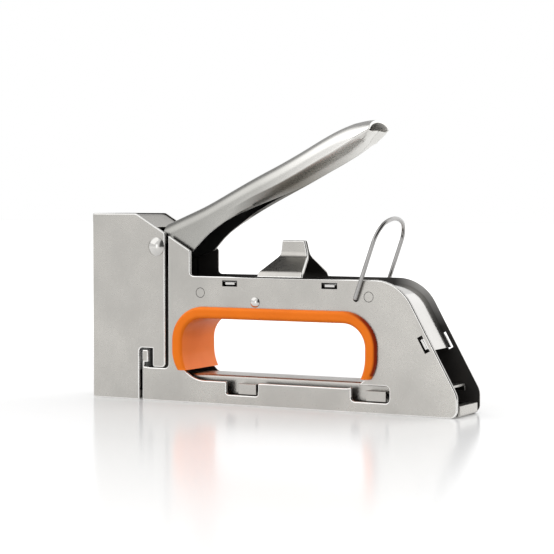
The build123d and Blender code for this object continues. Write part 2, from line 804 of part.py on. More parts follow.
# Wire bail: one wire whose ends hook into the plates, bent to an arch over the handle's path
bail_side = outer + bail_side_gap + bail_wire / 2
bail_stub = lap_inner
lean = math.radians(bail_lean)
turn = math.radians(bail_corner_turn)
arch_half = bail_side - bail_corner_radius * (1 - math.cos(turn))
arch_rise = arch_half / math.cos(turn) * (1 - math.sin(turn))
bail_leg = bail_reach - bail_corner_radius * math.sin(turn) - arch_rise
bail_plane = Plane(origin=(bail_x, 0, bail_height), x_dir=(0, 1, 0),
                   z_dir=(math.cos(lean), 0, -math.sin(lean)))
left_corner = (-arch_half, bail_leg + bail_corner_radius * math.sin(turn))
right_corner = (arch_half, left_corner[1])
with BuildLine() as bail_line:
    Line((-bail_stub, 0), (-bail_side + bail_bend_radius, 0))
    TangentArc((-bail_side + bail_bend_radius, 0), (-bail_side, bail_bend_radius), tangent=(-1, 0))
    Line((-bail_side, bail_bend_radius), (-bail_side, bail_leg))
    TangentArc((-bail_side, bail_leg), left_corner, tangent=(0, 1))
    TangentArc(left_corner, right_corner, tangent=(math.sin(turn), math.cos(turn)))
    TangentArc(right_corner, (bail_side, bail_leg), tangent=(math.sin(turn), -math.cos(turn)))
    Line((bail_side, bail_leg), (bail_side, bail_bend_radius))
    TangentArc((bail_side, bail_bend_radius), (bail_side - bail_bend_radius, 0), tangent=(0, -1))
    Line((bail_side - bail_bend_radius, 0), (bail_stub, 0))
with BuildPart() as wire_bail:
    bail_path = bail_plane.from_local_coords(bail_line.wire())
    with BuildSketch(Plane(origin=bail_path @ 0, z_dir=bail_path % 0)):
        Circle(bail_wire / 2)
    sweep(path=bail_path)
finish(wire_bail, "wire_bail")
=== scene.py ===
"""Looks of the hand staple tacker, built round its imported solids. Metres, in the part's frame."""
import json
import math

import bmesh
import bpy
from bmesh.types import BMEdge, BMFace, BMVert
from mathutils import Matrix, Vector

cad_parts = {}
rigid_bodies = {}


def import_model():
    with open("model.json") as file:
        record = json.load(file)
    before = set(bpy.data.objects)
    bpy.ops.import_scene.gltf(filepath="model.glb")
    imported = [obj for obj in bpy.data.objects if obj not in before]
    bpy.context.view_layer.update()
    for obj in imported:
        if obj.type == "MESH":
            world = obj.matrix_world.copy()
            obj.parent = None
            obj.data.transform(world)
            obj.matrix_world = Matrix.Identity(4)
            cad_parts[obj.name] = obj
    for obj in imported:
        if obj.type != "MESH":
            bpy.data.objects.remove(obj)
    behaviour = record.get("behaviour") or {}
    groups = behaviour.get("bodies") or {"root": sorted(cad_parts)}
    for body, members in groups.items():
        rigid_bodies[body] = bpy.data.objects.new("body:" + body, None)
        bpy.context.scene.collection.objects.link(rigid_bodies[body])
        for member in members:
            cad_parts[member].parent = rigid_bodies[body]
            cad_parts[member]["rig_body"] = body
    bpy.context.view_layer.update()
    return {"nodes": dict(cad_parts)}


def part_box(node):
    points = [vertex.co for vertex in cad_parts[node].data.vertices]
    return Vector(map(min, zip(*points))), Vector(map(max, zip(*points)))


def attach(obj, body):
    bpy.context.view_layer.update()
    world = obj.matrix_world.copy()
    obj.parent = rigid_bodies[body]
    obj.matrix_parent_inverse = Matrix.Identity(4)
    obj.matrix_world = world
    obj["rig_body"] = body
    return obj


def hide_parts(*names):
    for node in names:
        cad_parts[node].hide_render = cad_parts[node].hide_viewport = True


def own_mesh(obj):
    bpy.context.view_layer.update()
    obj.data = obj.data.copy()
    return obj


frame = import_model()

# Head casing: bright plated steel sheet folded round the nose, left open at the back and at
# the bottom. Tumbling has rounded its cut edges, which carry a painted highlight; its inside faces and
# inner front wall carry painted shade.
shade_slot, third_slot = 1, 2
sheet_angle = 32
hole_limit = 0.013
hole_wall_lean = 0.5
inward_lean = 0.3
square_on = 0.9
front_wall_back = -0.0876
rolled_edge = 0.00055


def merged_copy(node):
    """Copy of a CAD solid as one closed shape, with its flat triangles joined into faces."""
    same_place, same_plane = 1e-6, math.radians(0.4)
    shape = bmesh.new()
    shape.from_mesh(frame["nodes"][node].data)
    bmesh.ops.remove_doubles(shape, verts=shape.verts, dist=same_place)
    bmesh.ops.dissolve_limit(
        shape, angle_limit=same_plane, use_dissolve_boundaries=False,
        verts=shape.verts, edges=shape.edges, delimit=set(),
    )
    return shape


def faces_midplane(face):
    """True for a face that looks towards the middle of the body, which gets painted shade."""
    side = math.copysign(1.0, face.calc_center_median().y)
    return face.normal.y * side < -inward_lean


def weigh_edges(shape):
    """Mark a pressing's long outer edges for rounding with a painted highlight, and give the walls of
    its small holes painted shade.
    """
    weights = shape.edges.layers.float.new("bevel_weight_edge")
    sharp = math.radians(sheet_angle)
    waiting = {edge for edge in shape.edges if edge.calc_face_angle(0.0) > sharp}
    while waiting:
        loop = [waiting.pop()]
        for edge in loop:
            joined = {other for vert in edge.verts for other in vert.link_edges} & waiting
            waiting -= joined
            loop.extend(joined)
        along = [vert.co.x for edge in loop for vert in edge.verts]
        beside = {face for edge in loop for face in edge.link_faces}
        if max(along) - min(along) < hole_limit:
            for face in beside:
                if abs(face.normal.y) < hole_wall_lean:
                    face.material_index = shade_slot
            continue
        for edge in loop:
            if all(face.material_index != shade_slot for face in edge.link_faces):
                edge[weights] = 1.0


def round_edges(piece, width, sharp_angle=sheet_angle):
    """Round over the sharp edges of a finished piece, and keep its flat faces flat in shading."""
    rounding = piece.modifiers.new("tumbled_edges", "BEVEL")
    rounding.width = width
    rounding.segments = 2
    weighed = "bevel_weight_edge" in piece.data.attributes
    rounding.limit_method = "WEIGHT" if weighed else "ANGLE"
    # Weighted edges round over in the third finish: on the sheet pieces, a painted highlight.
    rounding.material = third_slot if weighed else -1
    rounding.angle_limit = math.radians(sharp_angle)
    rounding.use_clamp_overlap = False
    rounding.loop_slide = False
    evening = piece.modifiers.new("flat_faces", "WEIGHTED_NORMAL")
    evening.weight = 100
    evening.keep_sharp = False


def set_in_place(shape, name, node, finishes, sharp_angle=sheet_angle):
    """Make a shape the piece that stands for a CAD node, with its finishes, on the node's body."""
    mesh = bpy.data.meshes.new(name)
    shape.to_mesh(mesh)
    shape.free()
    mesh.shade_smooth()
    mesh.set_sharp_from_angle(angle=math.radians(sharp_angle))
    for finish in finishes:
        mesh.materials.append(finish)
    piece = bpy.data.objects.new(name, mesh)
    bpy.context.scene.collection.objects.link(piece)
    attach(piece, frame["nodes"][node]["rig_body"])
    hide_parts(node)
    return piece


def math_value(tree, operation, *sources):
    """Result of a math node that is fed by sockets or plain values, in order."""
    node = tree.nodes.new("ShaderNodeMath")
    node.operation = operation
    for place, source in enumerate(sources):
        if isinstance(source, bpy.types.NodeSocket):
            tree.links.new(source, node.inputs[place])
        else:
            node.inputs[place].default_value = source
    return node.outputs["Value"]


def map_range(tree, source, low, high):
    """Map-range node that carries a value from low..high to 0..1."""
    node = tree.nodes.new("ShaderNodeMapRange")
    node.inputs["From Min"].default_value = low
    node.inputs["From Max"].default_value = high
    tree.links.new(source, node.inputs["Value"])
    return node


def cloudy_finish():
    """Shared group: soft clouds of two tints, a roughness that follows them, and a fine grain."""
    group = bpy.data.node_groups.new("cloudy_finish", "ShaderNodeTree")
    for name, kind, way in (
        ("Vector", "Vector", "INPUT"), ("Light Tint", "Color", "INPUT"),
        ("Dark Tint", "Color", "INPUT"), ("Cloud Scale", "Float", "INPUT"),
        ("Grain Scale", "Float", "INPUT"), ("Smooth", "Float", "INPUT"), ("Rough", "Float", "INPUT"),
        ("Color", "Color", "OUTPUT"), ("Roughness", "Float", "OUTPUT"), ("Height", "Float", "OUTPUT"),
    ):
        group.interface.new_socket(name=name, in_out=way, socket_type="NodeSocket" + kind)
    nodes, links = group.nodes, group.links
    inputs = nodes.new("NodeGroupInput").outputs
    outputs = nodes.new("NodeGroupOutput").inputs
    clouds = nodes.new("ShaderNodeTexNoise")
    clouds.inputs["Detail"].default_value = 5.0
    clouds.inputs["Roughness"].default_value = 0.55
    links.new(inputs["Vector"], clouds.inputs["Vector"])
    links.new(inputs["Cloud Scale"], clouds.inputs["Scale"])
    grain = nodes.new("ShaderNodeTexNoise")
    grain.inputs["Detail"].default_value = 2.0
    links.new(inputs["Vector"], grain.inputs["Vector"])
    links.new(inputs["Grain Scale"], grain.inputs["Scale"])
    links.new(grain.outputs["Fac"], outputs["Height"])
    spread = map_range(group, clouds.outputs["Fac"], 0.3, 0.7)
    tint = nodes.new("ShaderNodeMix")
    tint.data_type = "RGBA"
    links.new(spread.outputs["Result"], tint.inputs["Factor"])
    links.new(inputs["Light Tint"], tint.inputs["A"])
    links.new(inputs["Dark Tint"], tint.inputs["B"])
    links.new(tint.outputs["Result"], outputs["Color"])
    blend = math_value(group, "MULTIPLY", clouds.outputs["Fac"], grain.outputs["Fac"])
    satin = map_range(group, blend, 0.12, 0.4)
    links.new(inputs["Smooth"], satin.inputs["To Min"])
    links.new(inputs["Rough"], satin.inputs["To Max"])
    links.new(satin.outputs["Result"], outputs["Roughness"])
    return group


cloudy = cloudy_finish()


def cloudy_material(name, light, dark, clouds, grain, smooth, rough, metallic, grain_depth):
    """Material whose colour, roughness and grain come from the cloudy group."""
    material = bpy.data.materials.new(name)
    material.use_nodes = True
    nodes, links = material.node_tree.nodes, material.node_tree.links
    shader = nodes["Principled BSDF"]
    shader.inputs["Metallic"].default_value = metallic
    place = nodes.new("ShaderNodeTexCoord")
    finish = nodes.new("ShaderNodeGroup")
    finish.node_tree = cloudy
    finish.inputs["Light Tint"].default_value = (*light, 1)
    finish.inputs["Dark Tint"].default_value = (*dark, 1)
    finish.inputs["Cloud Scale"].default_value = clouds
    finish.inputs["Grain Scale"].default_value = grain
    finish.inputs["Smooth"].default_value = smooth
    finish.inputs["Rough"].default_value = rough
    links.new(place.outputs["Object"], finish.inputs["Vector"])
    links.new(finish.outputs["Color"], shader.inputs["Base Color"])
    links.new(finish.outputs["Roughness"], shader.inputs["Roughness"])
    bump = nodes.new("ShaderNodeBump")
    bump.inputs["Strength"].default_value = 0.25
    bump.inputs["Distance"].default_value = grain_depth
    links.new(finish.outputs["Height"], bump.inputs["Height"])
    links.new(bump.outputs["Normal"], shader.inputs["Normal"])
    return material


plated_steel = cloudy_material(
    "plated_steel", light=(0.50, 0.484, 0.455), dark=(0.43, 0.418, 0.394), clouds=45, grain=2500,
    smooth=0.24, rough=0.38, metallic=1.0, grain_depth=0.00001,
)
# Near-black finish for faces inside the tool, in holes and in grooves: painted shade.
painted_inside_shade = cloudy_material(
    "painted_inside_shade", light=(0.05, 0.047, 0.043), dark=(0.022, 0.02, 0.018), clouds=70, grain=2500,
    smooth=0.45, rough=0.65, metallic=1.0, grain_depth=0.00002,
)
# Pale finish for the rounded edges: a painted highlight.
painted_edge_highlight = cloudy_material(
    "painted_edge_highlight", light=(0.86, 0.85, 0.83), dark=(0.79, 0.78, 0.76), clouds=90, grain=2500,
    smooth=0.16, rough=0.26, metallic=1.0, grain_depth=0.00001,
)
sheet_finishes = (plated_steel, painted_inside_shade, painted_edge_highlight)
casing = merged_copy("head_casing")
for face in casing.faces:
    front_wall = face.normal.x > square_on and face.calc_center_median().x < front_wall_back
    if faces_midplane(face) or front_wall:
        face.material_index = shade_slot
weigh_edges(casing)
casing_piece = set_in_place(casing, "casing_pressing", "head_casing", sheet_finishes)
round_edges(casing_piece, rolled_edge)

# Head cap: plated sheet lid laid between the casing's walls over the main spring.
# It is bent once to follow the sloping shoulder.
cap_edge = 0.0003
underside_lean = 0.2
cap = merged_copy("head_cap")
# The lid's underside carries painted shade.
for face in cap.faces:
    if face.normal.z < -underside_lean:
        face.material_index = shade_slot
cap_piece = set_in_place(cap, "cap_pressing", "head_cap", sheet_finishes)
round_edges(cap_piece, cap_edge)

# Body plates: two mirror-image pressings of plated sheet with the finger opening, slots and
# windows punched through, one S-bent stop tab each, and a stepped lap behind the casing. Their
# insides and the lap carry painted shade, but for a painted reflection: a bright band round the bend
# at the heel.
banded = 3
lap_rear = -0.0475
inner_wall = 0.01185
band_front, band_full = 0.050, 0.062
band_foot, band_top = 0.036, 0.054
# Near-black inside finish of the plates, painted shade, with a painted reflection laid over it round
# the heel.
plate_inside_shade_and_reflection = cloudy_material(
    "plate_inside_shade_and_reflection", light=(0.028, 0.025, 0.022), dark=(0.012, 0.011, 0.01), clouds=70, grain=2500,
    smooth=0.45, rough=0.65, metallic=0.0, grain_depth=0.00002,
)


def object_axes(tree):
    """Object coordinates in a cloudy material, split into X, Y and Z."""
    split = tree.nodes.new("ShaderNodeSeparateXYZ")
    tree.links.new(tree.nodes["Texture Coordinate"].outputs["Object"], split.inputs["Vector"])
    return split.outputs


def film_over(material, blend, mask=""):
    """Blend a colour over whatever gives a material its colour, everywhere or where a mask lets it."""
    nodes, links = material.node_tree.nodes, material.node_tree.links
    base = nodes["Principled BSDF"].inputs["Base Color"]
    film = nodes.new("ShaderNodeMix")
    film.data_type = "RGBA"
    film.blend_type = blend
    film.inputs["Factor"].default_value = 1.0
    if mask:
        where = nodes.new("ShaderNodeAttribute")
        where.attribute_name = mask
        links.new(where.outputs["Fac"], film.inputs["Factor"])
    links.new(base.links[0].from_socket, film.inputs["A"])
    links.new(film.outputs["Result"], base)
    return film


inside_tree = plate_inside_shade_and_reflection.node_tree
inside_axes = object_axes(inside_tree)
rearward_share = map_range(inside_tree, inside_axes["X"], band_front, band_full)
band_share = map_range(inside_tree, inside_axes["Z"], band_foot, band_top)
inside_tree.links.new(rearward_share.outputs["Result"], band_share.inputs["To Max"])
# Painted reflection: a pale band over the inside finish, rising towards the heel's bend.
painted_reflection_band = film_over(plate_inside_shade_and_reflection, "MIX")
painted_reflection_band.inputs["B"].default_value = (0.42, 0.41, 0.395, 1)
inside_tree.links.new(band_share.outputs["Result"], painted_reflection_band.inputs["Factor"])
plate_finishes = (*sheet_finishes, plate_inside_shade_and_reflection)
for plate_node, plate_name in (
    ("left_side_plate", "left_plate_pressing"), ("right_side_plate", "right_plate_pressing"),
):
    plate = merged_copy(plate_node)
    for face in plate.faces:
        middle = face.calc_center_median()
        on_lap = middle.x < lap_rear and abs(middle.y) < inner_wall
        if faces_midplane(face) or on_lap:
            face.material_index = shade_slot
    weigh_edges(plate)
    for face in plate.faces:
        if faces_midplane(face):
            face.material_index = banded
    plate_piece = set_in_place(plate, plate_name, plate_node, plate_finishes)
    round_edges(plate_piece, rolled_edge)

# Spine strip: bright rolled strip between the plates, bent along their top and heel edges and
# held by its tabs in their slots.
strip_edge = 0.0002
bright_strip = cloudy_material(
    "bright_strip", light=(0.62, 0.61, 0.59), dark=(0.55, 0.54, 0.52), clouds=45, grain=2500,
    smooth=0.08, rough=0.16, metallic=1.0, grain_depth=0.000005,
)
strip = merged_copy("spine_strip")
# The strip's faces that look sideways between the plates carry painted shade.
for face in strip.faces:
    if abs(face.normal.y) > square_on and abs(face.calc_center_median().y) < inner_wall:
        face.material_index = shade_slot
strip_piece = set_in_place(
    strip, "spine_pressing", "spine_strip", (bright_strip, painted_inside_shade),
)
round_edges(strip_piece, strip_edge)

# Grip insert: orange moulding that lines the finger opening, pressed in from both sides, with a
# rolled rim over each plate. The rim's outer flank, more so towards the rear, carries painted shade.
opening_middle = Vector((0.004, 0.0, 0.024))
insert_foot = 0.016
plate_face = 0.0129
flank_lean = 0.05
rear_gain = 1.6
flank_fade = 0.3
orange_moulding = cloudy_material(
    "orange_moulding", light=(0.92, 0.205, 0.014), dark=(0.85, 0.18, 0.011), clouds=80, grain=5000,
    smooth=0.32, rough=0.44, metallic=0.0, grain_depth=0.00002,
)
orange_shader = orange_moulding.node_tree.nodes["Principled BSDF"]
orange_shader.inputs["Specular IOR Level"].default_value = 0.22
orange_shader.inputs["Specular Tint"].default_value = (1.0, 0.8, 0.45, 1)
# Painted shade: a deep red laid over the rim's outer flank where the mask lets it.
flank_shade_film = film_over(orange_moulding, "MULTIPLY", "painted_flank_shade")
flank_shade_film.inputs["B"].default_value = (0.30, 0.09, 0.05, 1)
insert = merged_copy("grip_insert")
# Mask of the painted shade: strongest on the rear-facing outer flank of the rim.
painted_flank_shade = insert.verts.layers.float.new("painted_flank_shade")
for vert in insert.verts:
    away = vert.normal.copy()
    away.y = 0
    outward = away.length > flank_lean and away.dot(vert.co - opening_middle) > 0
    if outward and abs(vert.co.y) > plate_face and vert.co.z > insert_foot:
        rearward = min(1.0, rear_gain * max(0.0, away.normalized().x))
        vert[painted_flank_shade] = rearward * min(1.0, (1 - abs(vert.normal.y)) / flank_fade)
set_in_place(insert, "grip_moulding", "grip_insert", (orange_moulding,))

# Magazine channel: plated sheet folded to an inverted U along the foot of the opening,
# with feet that turn out into the plates' windows.
channel_wall = 0.001
channel_edge = 0.0001
channel_angle = 40
channel_front, skirt_rear, channel_rear = -0.066, 0.079, 0.084
channel_half, channel_top, channel_skirt = 0.0084, 0.0126, 0.0048
foot_half, shelf_top = 0.01275, 0.0096
channel_corner, foot_corner = 0.0015, 0.0004


def of_kind(geometry, kind):
    """The items of one kind among what an operator gave back."""
    return [item for item in geometry if isinstance(item, kind)]


def fold_sheet(shape, front, rear, start, side, top, corner, foot):
    """Half a folded sheet: flat from start to side, down round a corner to foot, drawn out along X."""
    first = shape.verts.new((front, -start, top))
    bend_start = shape.verts.new((front, corner - side, top))
    bend = bmesh.ops.spin(
        shape, geom=[bend_start], cent=(front, corner - side, top - corner), axis=(1, 0, 0),
        angle=math.pi / 2, steps=6,
    )
    bend_end = of_kind(bend["geom_last"], BMVert)[0]
    last = shape.verts.new((front, -side, foot))
    shape.edges.new((first, bend_start))
    shape.edges.new((bend_end, last))
    outline = [edge for edge in shape.edges if not edge.link_faces]
    drawn = bmesh.ops.extrude_edge_only(shape, edges=outline)
    bmesh.ops.translate(shape, verts=of_kind(drawn["geom"], BMVert), vec=(rear - front, 0, 0))


def mirror_half(shape, weld=1e-6):
    """Complete a half shape across the middle of the tool, and turn its faces outwards."""
    half = shape.verts[:] + shape.edges[:] + shape.faces[:]
    bmesh.ops.mirror(shape, geom=half, axis="Y", merge_dist=weld)
    bmesh.ops.recalc_face_normals(shape, faces=shape.faces)


def thicken(piece, thickness):
    """Give a sheet piece its wall on the inner side, with its second finish, painted shade, on its
    inner face only.
    """
    wall = piece.modifiers.new("sheet", "SOLIDIFY")
    wall.thickness = thickness
    wall.offset = -1
    wall.use_even_offset = True
    wall.material_offset = shade_slot
    wall.material_offset_rim = 0


channel = bmesh.new()
for front, rear, bottom in (
    (channel_front, skirt_rear, channel_skirt), (skirt_rear, channel_rear, shelf_top),
):
    fold_sheet(channel, front, rear, 0, channel_half, channel_top, channel_corner, bottom)
for front, rear, bottom in ((-0.013, -0.0044, 0.0051), (0.048, 0.057, 0.0053)):
    fold_sheet(channel, front, rear, channel_half, foot_half, shelf_top, foot_corner, bottom)
mirror_half(channel)
channel_piece = set_in_place(
    channel, "channel_pressing", "magazine_channel", sheet_finishes, channel_angle,
)
# The channel's inner face carries painted shade.
thicken(channel_piece, channel_wall)
round_edges(channel_piece, channel_edge, channel_angle)


# Magazine tray: plated sheet drawer that slides out at the heel by its folded end.
# Its lug holds the pusher's rod.
def plain_piece(node, name, finishes, edge, sharp_angle=sheet_angle):
    """Set a CAD solid in place in its own shape, with its sharp edges rounded over."""
    piece = set_in_place(merged_copy(node), name, node, finishes)
    round_edges(piece, edge, sharp_angle)


plain_piece(
    "magazine_tray", "tray_pressing", sheet_finishes, edge=0.0002, sharp_angle=40,
)

# Staple rail and pusher: plain folded steel rail on the drawer's floor, and the saddle that
# slides on it.
inner_steel = cloudy_material(
    "inner_steel", light=(0.33, 0.33, 0.33), dark=(0.26, 0.26, 0.255), clouds=90, grain=3000,
    smooth=0.3, rough=0.5, metallic=1.0, grain_depth=0.00002,
)
plain_piece("staple_rail", "rail_pressing", (inner_steel,), edge=0.00015)
plain_piece("staple_pusher", "pusher_saddle", (inner_steel,), edge=0.0002)

# Pusher rod: straight bright drawn wire, peened into the tray's lug.
# Its free end is broken to a small chamfer.
bright_wire = cloudy_material(
    "bright_wire", light=(0.40, 0.39, 0.38), dark=(0.33, 0.325, 0.32), clouds=200, grain=6000,
    smooth=0.07, rough=0.14, metallic=1.0, grain_depth=0.000005,
)
plain_piece("pusher_rod", "pusher_rod_wire", (bright_wire,), edge=0.0002)

# Pusher spring: light coil of oiled spring wire, wound on the rod from the pusher to the lug.
# It shortens as the pusher is drawn back.
coil_angle = 60
feed_wire = 0.0003
feed_reach = 0.0016
onto_side = Matrix.Rotation(math.pi / 2, 3, "X")
onto_length = Matrix.Rotation(math.pi / 2, 3, "Y")
spring_steel = cloudy_material(
    "spring_steel", light=(0.27, 0.27, 0.28), dark=(0.21, 0.21, 0.22), clouds=120, grain=5000,
    smooth=0.22, rough=0.36, metallic=1.0, grain_depth=0.00001,
)


def wound_coil(wire_radius, coil_radius, length, turns, turn_steps):
    """Coil of wire standing on the origin along +Z, spun from a round section, with closed ends."""
    shape = bmesh.new()
    section = bmesh.ops.create_circle(shape, cap_ends=True, segments=10, radius=wire_radius)["verts"]
    bmesh.ops.rotate(shape, verts=section, cent=(0, 0, 0), matrix=onto_side)
    bmesh.ops.translate(shape, verts=section, vec=(coil_radius, 0, wire_radius))
    steps = turns * turn_steps
    rise = (length - 2 * wire_radius) / steps
    bmesh.ops.spin(
        shape, geom=shape.faces[:], cent=(0, 0, 0), axis=(0, 0, 1), dvec=(0, 0, rise),
        angle=2 * math.pi * turns, steps=steps, use_duplicate=False,
    )
    bmesh.ops.recalc_face_normals(shape, faces=shape.faces)
    return shape


feed_low, feed_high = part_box("pusher_spring")
feed_coil = wound_coil(feed_wire, feed_reach, feed_high[0] - feed_low[0], turns=24, turn_steps=20)
bmesh.ops.rotate(feed_coil, verts=feed_coil.verts, cent=(0, 0, 0), matrix=onto_length)
rod_height = (feed_low[2] + feed_high[2]) / 2
bmesh.ops.translate(feed_coil, verts=feed_coil.verts, vec=(feed_low[0], 0, rod_height))
feed_piece = set_in_place(
    feed_coil, "pusher_coil", "pusher_spring", (spring_steel,), coil_angle,
)
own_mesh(feed_piece)

# Driver blade, plunger and blade guide: ground steel in the head. The blade hangs on the
# plunger's front face and runs down the guide's groove.
for ground_node, ground_name, ground_edge in (
    ("driver_blade", "blade_strip", 0.00015), ("plunger", "plunger_block", 0.0003),
    ("blade_guide", "blade_guide_block", 0.0003),
):
    plain_piece(ground_node, ground_name, (inner_steel,), ground_edge)

# Plunger bumper: moulded black rubber pad that lies on the blade guide and stops the plunger.
# Its edges are soft.
bumper_rubber = cloudy_material(
    "bumper_rubber", light=(0.025, 0.025, 0.025), dark=(0.015, 0.015, 0.015), clouds=150, grain=3000,
    smooth=0.6, rough=0.8, metallic=0.0, grain_depth=0.00004,
)
plain_piece("plunger_bumper", "bumper_pad", (bumper_rubber,), edge=0.0005)

# Main spring and its guide: stiff coil of oiled spring wire under a turned post that hangs
# from the cap. The coil shortens as the plunger is lifted.
spring_wire = 0.001
plain_piece("spring_guide", "spring_guide_post", (inner_steel,), edge=0.0002)
spring_low, spring_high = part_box("main_spring")
spring_reach = (spring_high[1] - spring_low[1]) / 2 - spring_wire
spring_length = spring_high[2] - spring_low[2]
main_coil = wound_coil(spring_wire, spring_reach, spring_length, turns=6, turn_steps=28)
spring_x = (spring_low[0] + spring_high[0]) / 2
bmesh.ops.translate(main_coil, verts=main_coil.verts, vec=(spring_x, 0, spring_low[2]))
coil_piece = set_in_place(
    main_coil, "main_coil", "main_spring", (spring_steel,), coil_angle,
)
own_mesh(coil_piece)

# Lever: squeeze handle of polished plated sheet, drawn to a channel with a rounded back, whose
# edges curl in under the grip until they meet. Stations from the pivot, in millimetres, give
# distance, back, crease, sole, half the slot between the edges and the shoulder's width.
lever_pivot = Vector((-0.0546, 0.0, 0.0686))
millimetre = 0.001
lever_sheet = 0.0012
lever_edge = 0.0002
lever_angle = 24
lever_half, lever_round, lever_open = 10.1, 7.0, 10.05
least_wall = 0.05
row_spacing = 2.5
corner_steps = 8
curl_shares = (0.0, 0.05, 0.15, 0.35, 0.6, 1.0)
curl_fullness = 2
fuller_from, fuller_over, fuller_by = 93, 6, 1.2
lobe_from, lobe_over, lobe_end, lobe_fade, lobe_depth = 95, 5, 103.3, 3, 4.5
lever_stations = (
    (1.4, 10.0, 1.0, -5.6, lever_open, 7.0), (9.0, 13.1, 2.0, -4.8, lever_open, 7.0),
    (17.2, 16.4, 5.0, -1.9, lever_open, 7.0), (20.2, 17.7, 7.0, 1.4, lever_open, 7.0),
    (25.3, 20.1, 10.5, 6.1, lever_open, 7.0), (35.5, 25.3, 16.4, 12.4, 9.4, 7.0),
    (46.0, 30.5, 21.8, 17.4, 6.4, 7.0), (58.0, 36.1, 27.0, 22.4, 2.4, 7.0),
    (68.0, 41.1, 31.9, 26.8, 0.5, 7.0), (78.0, 46.4, 37.2, 31.8, 0.15, 7.0),
    (86.0, 50.2, 41.3, 35.8, 0.15, 7.0), (93.0, 52.8, 45.2, 39.7, 0.15, 7.6),
    (96.0, 53.5, 46.8, 42.4, 0.15, 8.3), (98.2, 53.9, 48.0, 44.5, 0.15, 8.8),
    (99.6, 54.1, 48.8, 46.6, 0.15, 9.2), (100.7, 54.2, 49.3, 47.8, 0.15, 9.5),
    (102.3, 54.2, 50.1, 49.4, 0.15, 9.9),
)
lever_outside = cloudy_material(
    "lever_outside", light=(0.85, 0.838, 0.81), dark=(0.77, 0.758, 0.73), clouds=40, grain=4000,
    smooth=0.22, rough=0.32, metallic=1.0, grain_depth=0.00001,
)
# Pale inside finish of the lever, with painted shade laid over it below.
lever_inside = cloudy_material(
    "lever_inside", light=(0.85, 0.83, 0.79), dark=(0.76, 0.74, 0.70), clouds=60, grain=3000,
    smooth=0.35, rough=0.5, metallic=0.0, grain_depth=0.00002,
)


def paint_shade_along(material, start, end, stops, sideways=0.0, mask=""):
    """Paint shade over a material between two places along X, more so towards the middle."""
    tree = material.node_tree
    axes = object_axes(tree)
    out_from_middle = math_value(tree, "ABSOLUTE", axes["Y"])
    place = math_value(tree, "MULTIPLY_ADD", out_from_middle, sideways, axes["X"])
    share = map_range(tree, place, start, end)
    ramp = tree.nodes.new("ShaderNodeValToRGB")
    ramp.color_ramp.elements[0].color = (*stops[0], 1)
    ramp.color_ramp.elements[1].color = (*stops[2], 1)
    ramp.color_ramp.elements.new(0.5).color = (*stops[1], 1)
    tree.links.new(share.outputs["Result"], ramp.inputs["Fac"])
    film = film_over(material, "MULTIPLY", mask)
    tree.links.new(ramp.outputs["Color"], film.inputs["B"])


# Painted shade along the lever: its inside darkest towards the root and pale at the open tip, its
# outside darker towards the root, and its turned-in edges dark brown but near the tip.
deep_stops = ((0.015, 0.015, 0.015), (0.16, 0.155, 0.135), (1, 1, 1))
root_stops = ((0.44, 0.44, 0.43), (0.575, 0.575, 0.565), (1, 1, 1))
curl_stops = ((0.026, 0.024, 0.022), (0.26, 0.24, 0.205), (0.78, 0.78, 0.77))
paint_shade_along(lever_inside, -0.012, 0.045, deep_stops)
paint_shade_along(lever_outside, -0.05, 0.04, root_stops)
paint_shade_along(lever_outside, -0.010, 0.038, curl_stops, sideways=0.8, mask="curl")


def drawn_station(index, share):
    """Station between two given ones, on the smooth line through them and their neighbours."""
    last = len(lever_stations) - 1
    before = lever_stations[max(index - 1, 0)]
    start = lever_stations[index]
    end = lever_stations[min(index + 1, last)]
    after = lever_stations[min(index + 2, last)]
    return [
        q + 0.5 * share * (r - p + share * (2 * p - 5 * q + 4 * r - s + share * (3 * (q - r) + s - p)))
        for p, q, r, s in zip(before, start, end, after)
    ]


def lever_row(station):
    """Points of half a section, from the middle of the back round the corner to the turned-in edge."""
    x, back, crease, sole, slot, shoulder = station
    drop = min(lever_round, back - crease - least_wall)
    row = [Vector((x, 0, back))]
    for step in range(corner_steps + 1):
        angle = step * math.pi / (2 * corner_steps)
        out = shoulder * (1 - math.sin(angle)) - lever_half
        row.append(Vector((x, out, back - drop * (1 - math.cos(angle)))))
    fullness = curl_fullness + fuller_by * min(1, max(0, x - fuller_from) / fuller_over)
    lobe = lobe_depth * min(1, max(0, x - lobe_from) / lobe_over, (lobe_end - x) / lobe_fade)
    for share in curl_shares:
        left = 1 - share
        curl = 1 - left ** fullness
        out = max(lever_half - slot, least_wall) * share - lever_half
        row.append(Vector((x, out, crease - curl * (crease - sole + lobe * left ** 2))))
    return [lever_pivot + point * millimetre for point in row]


shell = bmesh.new()
curl_mask = shell.verts.layers.float.new("curl")
row_verts = [shell.verts.new(point) for point in lever_row(lever_stations[0])]
row_edges = [shell.edges.new(pair) for pair in zip(row_verts, row_verts[1:])]
for index in range(len(lever_stations) - 1):
    steps = max(1, round((lever_stations[index + 1][0] - lever_stations[index][0]) / row_spacing))
    for step in range(1, steps + 1):
        drawn = bmesh.ops.extrude_edge_only(shell, edges=row_edges)["geom"]
        row_edges = of_kind(drawn, BMEdge)
        last_places = {tuple(vert.co): place for place, vert in enumerate(row_verts)}
        row_verts = sorted(of_kind(drawn, BMVert), key=lambda vert: last_places[tuple(vert.co)])
        for vert, target in zip(row_verts, lever_row(drawn_station(index, step / steps))):
            vert.co = target
        turned_in = 1 + row_verts[-1].co.y / (lever_half * millimetre)
        for vert in row_verts[1 - len(curl_shares):]:
            vert[curl_mask] = turned_in
mirror_half(shell)
lever_piece = set_in_place(
    shell, "lever_channel", "lever", (lever_outside, lever_inside), lever_angle,
)
thicken(lever_piece, lever_sheet)
round_edges(lever_piece, lever_edge, lever_angle)

